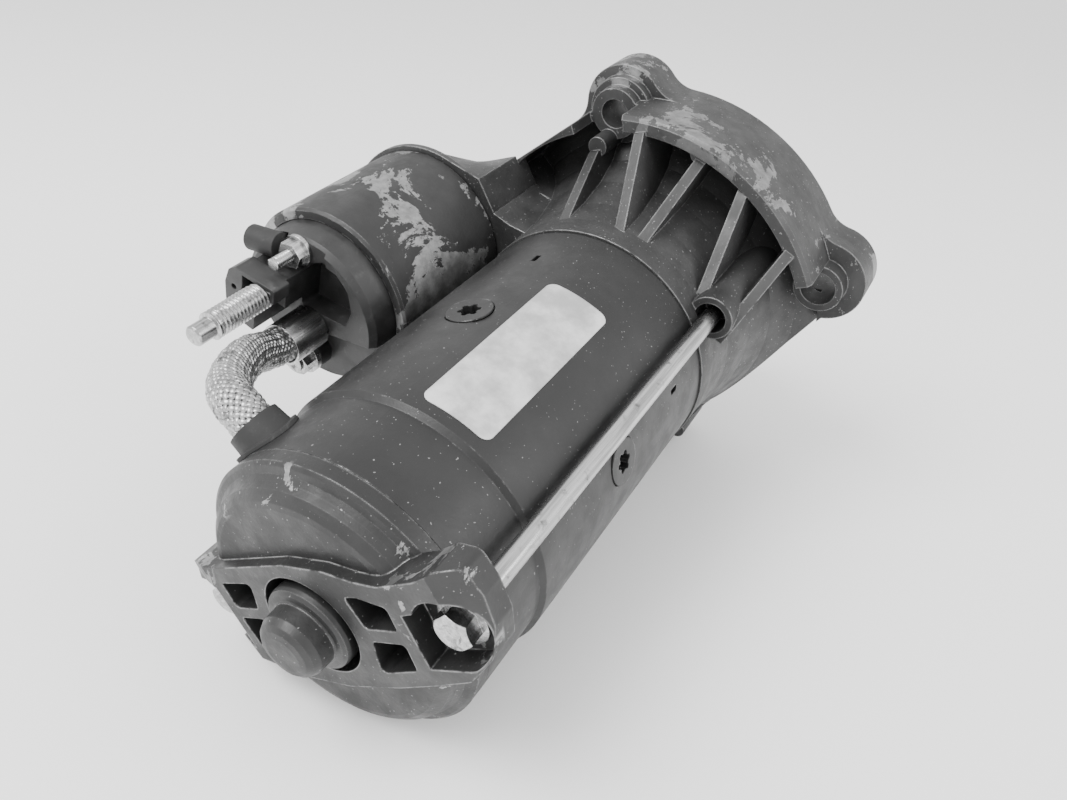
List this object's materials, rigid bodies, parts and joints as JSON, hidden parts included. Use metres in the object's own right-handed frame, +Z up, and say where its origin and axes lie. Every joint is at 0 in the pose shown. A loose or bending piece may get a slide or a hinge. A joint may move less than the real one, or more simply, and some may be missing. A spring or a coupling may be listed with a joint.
{
  "type": "starter motor",
  "caption": "Pre-engaged starter motor: cast flanged nose housing, dark cylindrical yoke, side solenoid with braided lead, long through bolts and a cast end cap.",
  "frame": {"origin": "centre of the mounting flange's front face, on the armature shaft's axis", "axes": "+X along the shaft towards the drive end, +Z up with the shaft horizontal as it lies, +Y towards the solenoid's side"},
  "size_m": [0.2314, 0.1632, 0.1345],
  "materials": {
    "cast_alloy": "satin",
    "painted_steel": "satin",
    "bright_steel": "satin",
    "dark_steel": "satin",
    "sintered_bronze": "satin",
    "copper": "satin",
    "carbon": "matte",
    "black_plastic": "satin",
    "black_rubber": "matte",
    "label_film": "satin",
    "braid": "satin"
  },
  "bodies": {
    "base": {"drive_housing": "cast_alloy", "yoke": "painted_steel", "pole_shoes": "dark_steel", "pole_screws": "painted_steel", "field_coils": "copper", "end_cap": "painted_steel", "rear_bush": "sintered_bronze", "rear_dust_cap": "painted_steel", "through_bolts": "bright_steel", "brush_plate": "bright_steel", "brush_holders": "black_plastic", "brushes": "carbon", "brush_springs": "dark_steel", "lever_pin": "bright_steel", "solenoid_can": "painted_steel", "solenoid_winding": "copper", "solenoid_core": "dark_steel", "solenoid_screws": "dark_steel", "plunger_spring": "bright_steel", "solenoid_cap": "black_plastic", "battery_stud": "bright_steel", "motor_stud": "bright_steel", "motor_nut": "bright_steel", "signal_stud": "bright_steel", "signal_nut": "bright_steel", "signal_lug": "bright_steel", "signal_sleeve": "black_rubber", "field_lead": "braid", "lead_lug": "bright_steel", "lead_grommet": "black_rubber", "nose_bush": "sintered_bronze", "label_plate": "label_film"},
    "armature": {"armature_shaft": "bright_steel", "armature_core": "dark_steel", "armature_winding": "copper", "commutator": "copper", "rear_clip": "dark_steel", "thrust_washer": "bright_steel", "pinion_stop": "dark_steel"},
    "drive": {"drive_sleeve": "bright_steel", "lever_collar": "black_plastic", "clutch_shell": "bright_steel", "clutch_rollers": "bright_steel"},
    "pinion_body": {"pinion": "bright_steel"},
    "lever": {"shift_lever": "black_plastic"},
    "plunger_set": {"plunger": "bright_steel", "contact_rod": "bright_steel", "contact_disc": "copper"}
  },
  "joints": [
    {"name": "armature_turn", "type": "hinge", "parent": "base", "child": "armature", "pos_m": [0, 0, 0], "axis": [1, 0, 0], "continuous": true},
    {"name": "plunger_slide", "type": "slide", "parent": "base", "child": "plunger_set", "axis": [-1, 0, 0], "range_m": [0, 0.01], "stiffness_N_per_m": 2500, "springref_m": -0.004, "deforming": ["plunger_spring"]},
    {"name": "lever_swing", "type": "hinge", "parent": "base", "child": "lever", "pos_m": [-0.044, 0.03493, 0.01025], "axis": [0, -0.2817, 0.9595], "range_deg": [0, 18.72]},
    {"name": "drive_slide", "type": "slide", "parent": "armature", "child": "drive", "axis": [1, 0, 0], "range_m": [0, 0.012]},
    {"name": "pinion_freewheel", "type": "hinge", "parent": "drive", "child": "pinion_body", "pos_m": [0, 0, 0], "axis": [1, 0, 0], "continuous": true}
  ],
  "couplings": [
    {"joint": "lever_swing", "follows": "plunger_slide", "rad_per_m": 32.67},
    {"joint": "drive_slide", "follows": "plunger_slide", "ratio": 1.2}
  ]
}
